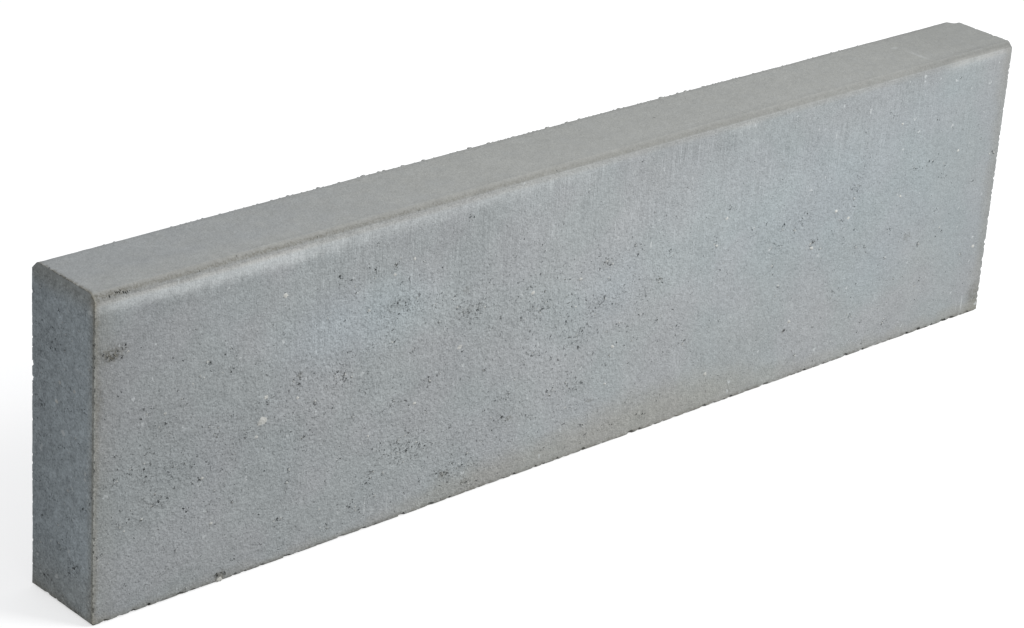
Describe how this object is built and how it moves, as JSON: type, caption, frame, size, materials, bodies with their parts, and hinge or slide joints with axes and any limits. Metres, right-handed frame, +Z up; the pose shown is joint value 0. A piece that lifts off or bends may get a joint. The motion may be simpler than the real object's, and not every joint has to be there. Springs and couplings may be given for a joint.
{
  "type": "edging kerb stone",
  "caption": "Grey precast concrete edging kerb: a long narrow block standing on its edge, bevelled along both long top edges, with plain flat ends to butt against the next one.",
  "frame": {"origin": "middle of the bed face, on the level floor that the kerb stands on", "axes": "+X along the kerb's length, -Y out of the face that shows in the picture, +Z up to the bevelled top"},
  "size_m": [0.75, 0.06, 0.2],
  "materials": {
    "concrete": "matte"
  },
  "bodies": {
    "root": {"kerb_stone": "concrete"}
  },
  "joints": []
}
